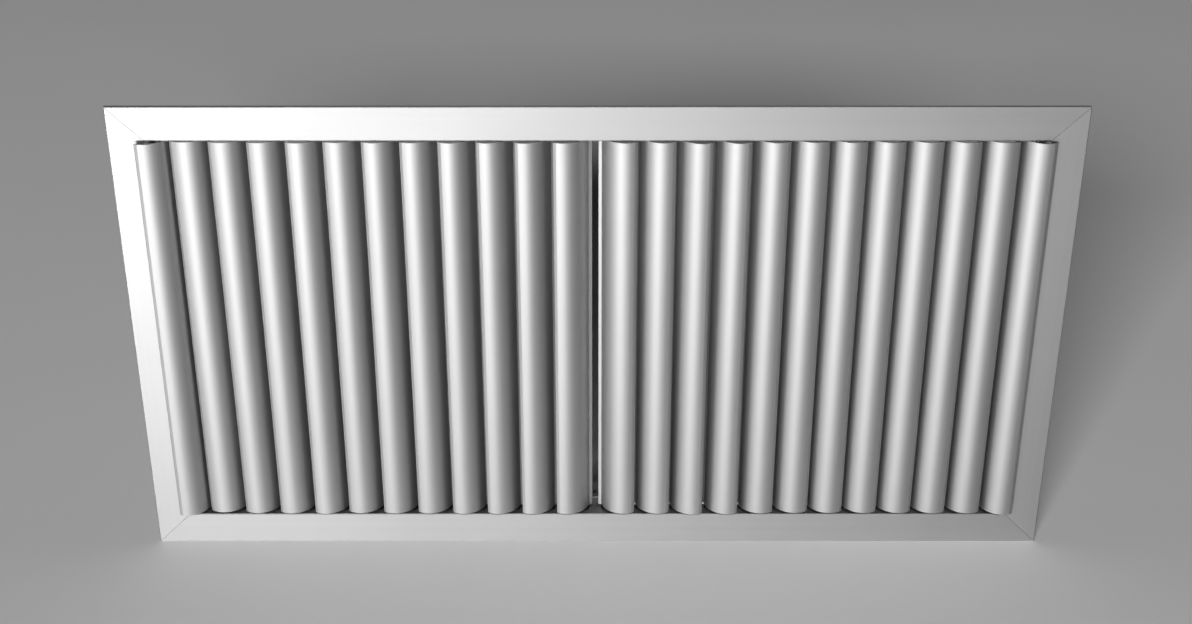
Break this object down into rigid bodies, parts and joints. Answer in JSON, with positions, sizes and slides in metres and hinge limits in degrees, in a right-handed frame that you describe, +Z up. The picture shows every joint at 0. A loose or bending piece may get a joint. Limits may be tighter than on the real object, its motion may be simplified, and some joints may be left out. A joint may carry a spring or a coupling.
{
  "type": "rectangular ventilation grille",
  "caption": "Rectangular wall grille with a flanged frame and two mirrored banks of upright curved blades, each turning on its own pivots to steer the air.",
  "frame": {"origin": "the middle of the wall plane, behind the flange and in the middle of the neck", "axes": "+X to the right for someone who faces the grille, +Y into the wall, +Z up along the blades"},
  "size_m": [0.64, 0.0474, 0.34],
  "materials": {
    "frame_metal": "satin silver anodised, fine lengthwise drawing lines",
    "blade_metal": "satin silver anodised, fine lengthwise drawing lines",
    "key_metal": "plain mill finish, punched flat bar",
    "pin_steel": "zinc plated",
    "bush_plastic": "moulded, matt",
    "seal_foam": "closed-cell foam strip"
  },
  "bodies": {
    "frame": {"frame_top": "frame_metal", "frame_bottom": "frame_metal", "frame_left": "frame_metal", "frame_right": "frame_metal", "corner_key_top_left": "key_metal", "corner_key_top_right": "key_metal", "corner_key_bottom_left": "key_metal", "corner_key_bottom_right": "key_metal", "wall_seal": "seal_foam", "bushes_top": "bush_plastic", "bushes_bottom": "bush_plastic"},
    "blade_01": {"blade_01": "blade_metal", "pivot_pins_01": "pin_steel"},
    "blade_02": {"blade_02": "blade_metal", "pivot_pins_02": "pin_steel"},
    "blade_03": {"blade_03": "blade_metal", "pivot_pins_03": "pin_steel"},
    "blade_04": {"blade_04": "blade_metal", "pivot_pins_04": "pin_steel"},
    "blade_05": {"blade_05": "blade_metal", "pivot_pins_05": "pin_steel"},
    "blade_06": {"blade_06": "blade_metal", "pivot_pins_06": "pin_steel"},
    "blade_07": {"blade_07": "blade_metal", "pivot_pins_07": "pin_steel"},
    "blade_08": {"blade_08": "blade_metal", "pivot_pins_08": "pin_steel"},
    "blade_09": {"blade_09": "blade_metal", "pivot_pins_09": "pin_steel"},
    "blade_10": {"blade_10": "blade_metal", "pivot_pins_10": "pin_steel"},
    "blade_11": {"blade_11": "blade_metal", "pivot_pins_11": "pin_steel"},
    "blade_12": {"blade_12": "blade_metal", "pivot_pins_12": "pin_steel"},
    "blade_13": {"blade_13": "blade_metal", "pivot_pins_13": "pin_steel"},
    "blade_14": {"blade_14": "blade_metal", "pivot_pins_14": "pin_steel"},
    "blade_15": {"blade_15": "blade_metal", "pivot_pins_15": "pin_steel"},
    "blade_16": {"blade_16": "blade_metal", "pivot_pins_16": "pin_steel"},
    "blade_17": {"blade_17": "blade_metal", "pivot_pins_17": "pin_steel"},
    "blade_18": {"blade_18": "blade_metal", "pivot_pins_18": "pin_steel"},
    "blade_19": {"blade_19": "blade_metal", "pivot_pins_19": "pin_steel"},
    "blade_20": {"blade_20": "blade_metal", "pivot_pins_20": "pin_steel"},
    "blade_21": {"blade_21": "blade_metal", "pivot_pins_21": "pin_steel"},
    "blade_22": {"blade_22": "blade_metal", "pivot_pins_22": "pin_steel"},
    "blade_23": {"blade_23": "blade_metal", "pivot_pins_23": "pin_steel"},
    "blade_24": {"blade_24": "blade_metal", "pivot_pins_24": "pin_steel"}
  },
  "joints": [
    {"name": "blade_01_turn", "type": "hinge", "parent": "frame", "child": "blade_01", "pos_m": [-0.2851, 0.00666, 0], "axis": [0, 0, 1], "range_deg": [-7, 10]},
    {"name": "blade_02_turn", "type": "hinge", "parent": "frame", "child": "blade_02", "pos_m": [-0.2601, 0.00666, 0], "axis": [0, 0, 1], "range_deg": [-5, 31]},
    {"name": "blade_03_turn", "type": "hinge", "parent": "frame", "child": "blade_03", "pos_m": [-0.2351, 0.00666, 0], "axis": [0, 0, 1], "range_deg": [-10, 26]},
    {"name": "blade_04_turn", "type": "hinge", "parent": "frame", "child": "blade_04", "pos_m": [-0.2101, 0.00666, 0], "axis": [0, 0, 1], "range_deg": [-12, 24]},
    {"name": "blade_05_turn", "type": "hinge", "parent": "frame", "child": "blade_05", "pos_m": [-0.1851, 0.00666, 0], "axis": [0, 0, 1], "range_deg": [-14, 22]},
    {"name": "blade_06_turn", "type": "hinge", "parent": "frame", "child": "blade_06", "pos_m": [-0.1601, 0.00666, 0], "axis": [0, 0, 1], "range_deg": [-10, 26]},
    {"name": "blade_07_turn", "type": "hinge", "parent": "frame", "child": "blade_07", "pos_m": [-0.1351, 0.00666, 0], "axis": [0, 0, 1], "range_deg": [-12, 24]},
    {"name": "blade_08_turn", "type": "hinge", "parent": "frame", "child": "blade_08", "pos_m": [-0.1101, 0.00666, 0], "axis": [0, 0, 1], "range_deg": [-12, 24]},
    {"name": "blade_09_turn", "type": "hinge", "parent": "frame", "child": "blade_09", "pos_m": [-0.0851, 0.00666, 0], "axis": [0, 0, 1], "range_deg": [-14, 22]},
    {"name": "blade_10_turn", "type": "hinge", "parent": "frame", "child": "blade_10", "pos_m": [-0.0601, 0.00666, 0], "axis": [0, 0, 1], "range_deg": [-15, 21]},
    {"name": "blade_11_turn", "type": "hinge", "parent": "frame", "child": "blade_11", "pos_m": [-0.0351, 0.00666, 0], "axis": [0, 0, 1], "range_deg": [-16, 20]},
    {"name": "blade_12_turn", "type": "hinge", "parent": "frame", "child": "blade_12", "pos_m": [-0.0101, 0.00666, 0], "axis": [0, 0, 1], "range_deg": [-15.5, 20.5]},
    {"name": "blade_13_turn", "type": "hinge", "parent": "frame", "child": "blade_13", "pos_m": [0.0071, 0.00666, 0], "axis": [0, 0, -1], "range_deg": [-14, 22]},
    {"name": "blade_14_turn", "type": "hinge", "parent": "frame", "child": "blade_14", "pos_m": [0.0321, 0.00666, 0], "axis": [0, 0, -1], "range_deg": [-13.5, 22.5]},
    {"name": "blade_15_turn", "type": "hinge", "parent": "frame", "child": "blade_15", "pos_m": [0.0571, 0.00666, 0], "axis": [0, 0, -1], "range_deg": [-19, 17]},
    {"name": "blade_16_turn", "type": "hinge", "parent": "frame", "child": "blade_16", "pos_m": [0.0821, 0.00666, 0], "axis": [0, 0, -1], "range_deg": [-17, 19]},
    {"name": "blade_17_turn", "type": "hinge", "parent": "frame", "child": "blade_17", "pos_m": [0.1071, 0.00666, 0], "axis": [0, 0, -1], "range_deg": [-12, 24]},
    {"name": "blade_18_turn", "type": "hinge", "parent": "frame", "child": "blade_18", "pos_m": [0.1321, 0.00666, 0], "axis": [0, 0, -1], "range_deg": [-9, 27]},
    {"name": "blade_19_turn", "type": "hinge", "parent": "frame", "child": "blade_19", "pos_m": [0.1571, 0.00666, 0], "axis": [0, 0, -1], "range_deg": [-9.5, 26.5]},
    {"name": "blade_20_turn", "type": "hinge", "parent": "frame", "child": "blade_20", "pos_m": [0.1821, 0.00666, 0], "axis": [0, 0, -1], "range_deg": [-10, 26]},
    {"name": "blade_21_turn", "type": "hinge", "parent": "frame", "child": "blade_21", "pos_m": [0.2071, 0.00666, 0], "axis": [0, 0, -1], "range_deg": [-10, 26]},
    {"name": "blade_22_turn", "type": "hinge", "parent": "frame", "child": "blade_22", "pos_m": [0.2321, 0.00666, 0], "axis": [0, 0, -1], "range_deg": [-12, 24]},
    {"name": "blade_23_turn", "type": "hinge", "parent": "frame", "child": "blade_23", "pos_m": [0.2571, 0.00666, 0], "axis": [0, 0, -1], "range_deg": [-12, 24]},
    {"name": "blade_24_turn", "type": "hinge", "parent": "frame", "child": "blade_24", "pos_m": [0.2821, 0.00666, 0], "axis": [0, 0, -1], "range_deg": [-1, 16]}
  ]
}
